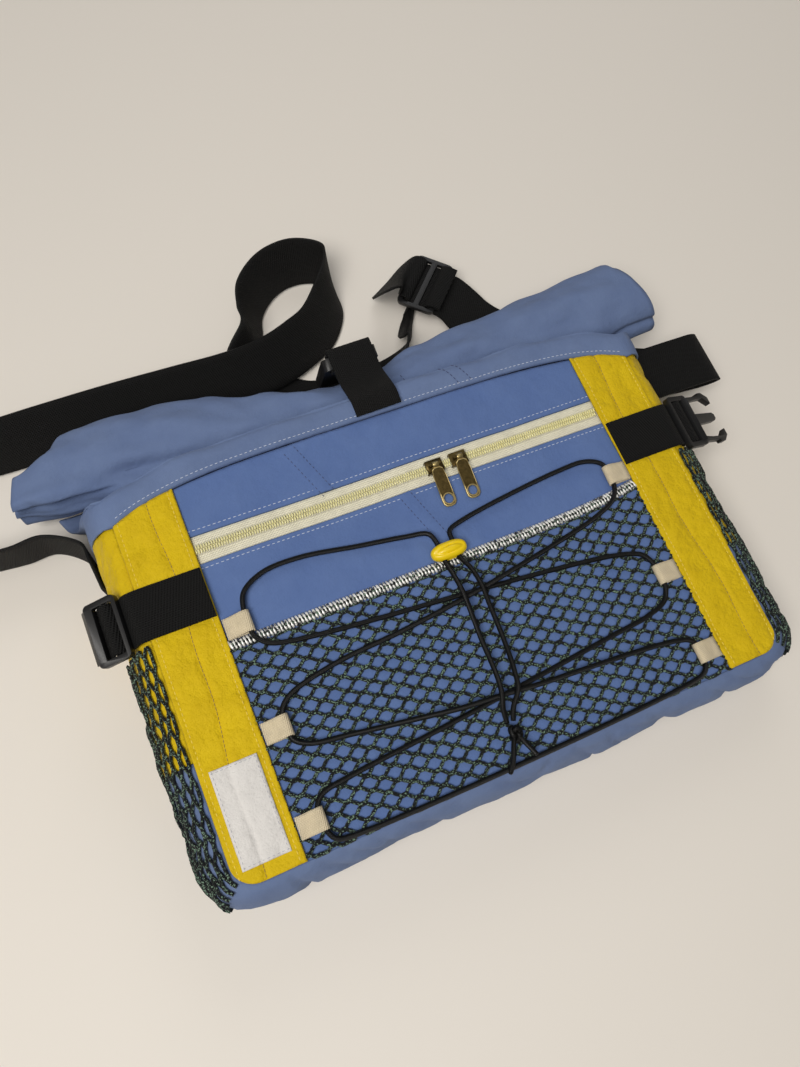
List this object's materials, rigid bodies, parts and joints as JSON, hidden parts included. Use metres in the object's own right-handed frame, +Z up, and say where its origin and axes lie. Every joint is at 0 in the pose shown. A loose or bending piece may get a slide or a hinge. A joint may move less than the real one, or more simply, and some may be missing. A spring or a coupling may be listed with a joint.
{
  "type": "messenger bag",
  "caption": "Roll-top messenger bag lying on its back: front zip, netted front laced with elastic cord, side buckle tabs and a shoulder strap.",
  "frame": {"origin": "on the surface the bag lies on, under the middle of the front panel", "axes": "+X across the bag to its right, +Y towards the rolled mouth, +Z up out of the front face"},
  "size_m": [0.6287, 0.4234, 0.092],
  "materials": {
    "blue cloth": "matt woven cloth",
    "pale blue cloth": "matt woven cloth",
    "yellow cloth": "coated woven cloth, a little creased",
    "zip tape": "woven tape",
    "zip coil": "nylon coil",
    "aged brass": "antique brass, worn bright at the rims",
    "net twine": "knotted twine with pale flecks",
    "selvedge": "silver and black woven edge",
    "cotton tape": "twill cotton tape",
    "elastic": "braided sleeve",
    "yellow plastic": "smooth moulded plastic",
    "label cloth": "blank woven label",
    "webbing": "ribbed polypropylene webbing",
    "black plastic": "moulded acetal"
  },
  "bodies": {
    "bag": {"front_upper_panel": "blue cloth", "front_lower_panel": "blue cloth", "left_strip": "yellow cloth", "right_strip": "yellow cloth", "left_gusset": "yellow cloth", "right_gusset": "yellow cloth", "bottom_panel": "pale blue cloth", "back_panel": "blue cloth", "mouth_band": "pale blue cloth", "roll": "pale blue cloth", "zip_tape": "zip tape", "zip_coil": "zip coil", "left_slider": "aged brass", "right_slider": "aged brass", "front_net": "net twine", "net_selvedge": "selvedge", "left_side_net": "net twine", "right_side_net": "net twine", "left_top_loop": "cotton tape", "left_middle_loop": "cotton tape", "left_bottom_loop": "cotton tape", "right_top_loop": "cotton tape", "right_middle_loop": "cotton tape", "right_bottom_loop": "cotton tape", "elastic_cord": "elastic", "cord_knot": "elastic", "cord_toggle": "yellow plastic", "label": "label cloth", "closure_strap": "webbing", "closure_buckle": "black plastic", "closure_anchor": "webbing", "left_tab": "webbing", "left_buckle": "black plastic", "right_tab": "webbing", "right_buckle": "black plastic", "shoulder_strap": "webbing", "strap_adjuster": "black plastic", "short_strap": "webbing"},
    "left_pull": {"left_pull": "aged brass"},
    "right_pull": {"right_pull": "aged brass"}
  },
  "joints": [
    {"name": "left_pull_swing", "type": "hinge", "parent": "bag", "child": "left_pull", "pos_m": [0.01823, 0.0706, 0.08181], "axis": [-0.999, 0, 0.044], "range_deg": [0, 160]},
    {"name": "right_pull_swing", "type": "hinge", "parent": "bag", "child": "right_pull", "pos_m": [0.03473, 0.0706, 0.08109], "axis": [-0.999, 0, 0.044], "range_deg": [0, 160]}
  ]
}
